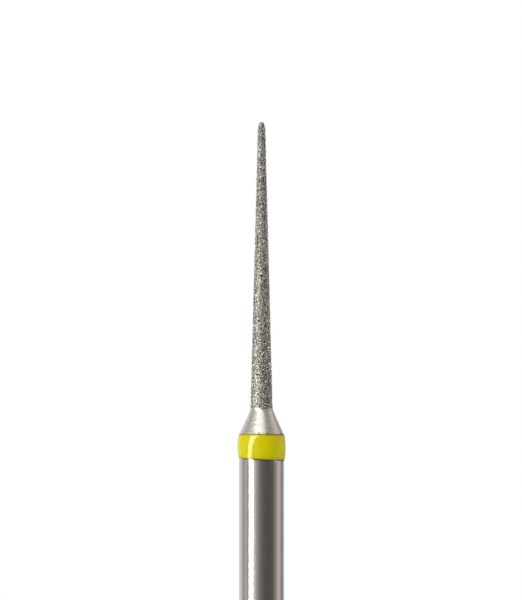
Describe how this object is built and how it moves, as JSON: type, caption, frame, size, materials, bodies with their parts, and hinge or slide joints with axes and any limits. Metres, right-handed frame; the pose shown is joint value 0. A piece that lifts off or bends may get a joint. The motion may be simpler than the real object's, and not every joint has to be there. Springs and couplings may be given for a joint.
{
  "type": "dental bur",
  "caption": "Long tapered diamond bur with a rounded tip, a short conical neck, a yellow grade ring and a plain friction-grip shank.",
  "frame": {"origin": "centre of the flat end face of the shank", "axes": "+Z along the bur's axis from the shank towards the tip; X and Y are alike, because the bur is turned"},
  "size_m": [0.0018, 0.0018, 0.023],
  "materials": {
    "polished_steel": "polished",
    "diamond_grit": "matte",
    "yellow_lacquer": "gloss"
  },
  "bodies": {
    "root": {"steel_blank": "polished_steel", "diamond_coat": "diamond_grit", "colour_ring": "yellow_lacquer"}
  },
  "joints": []
}
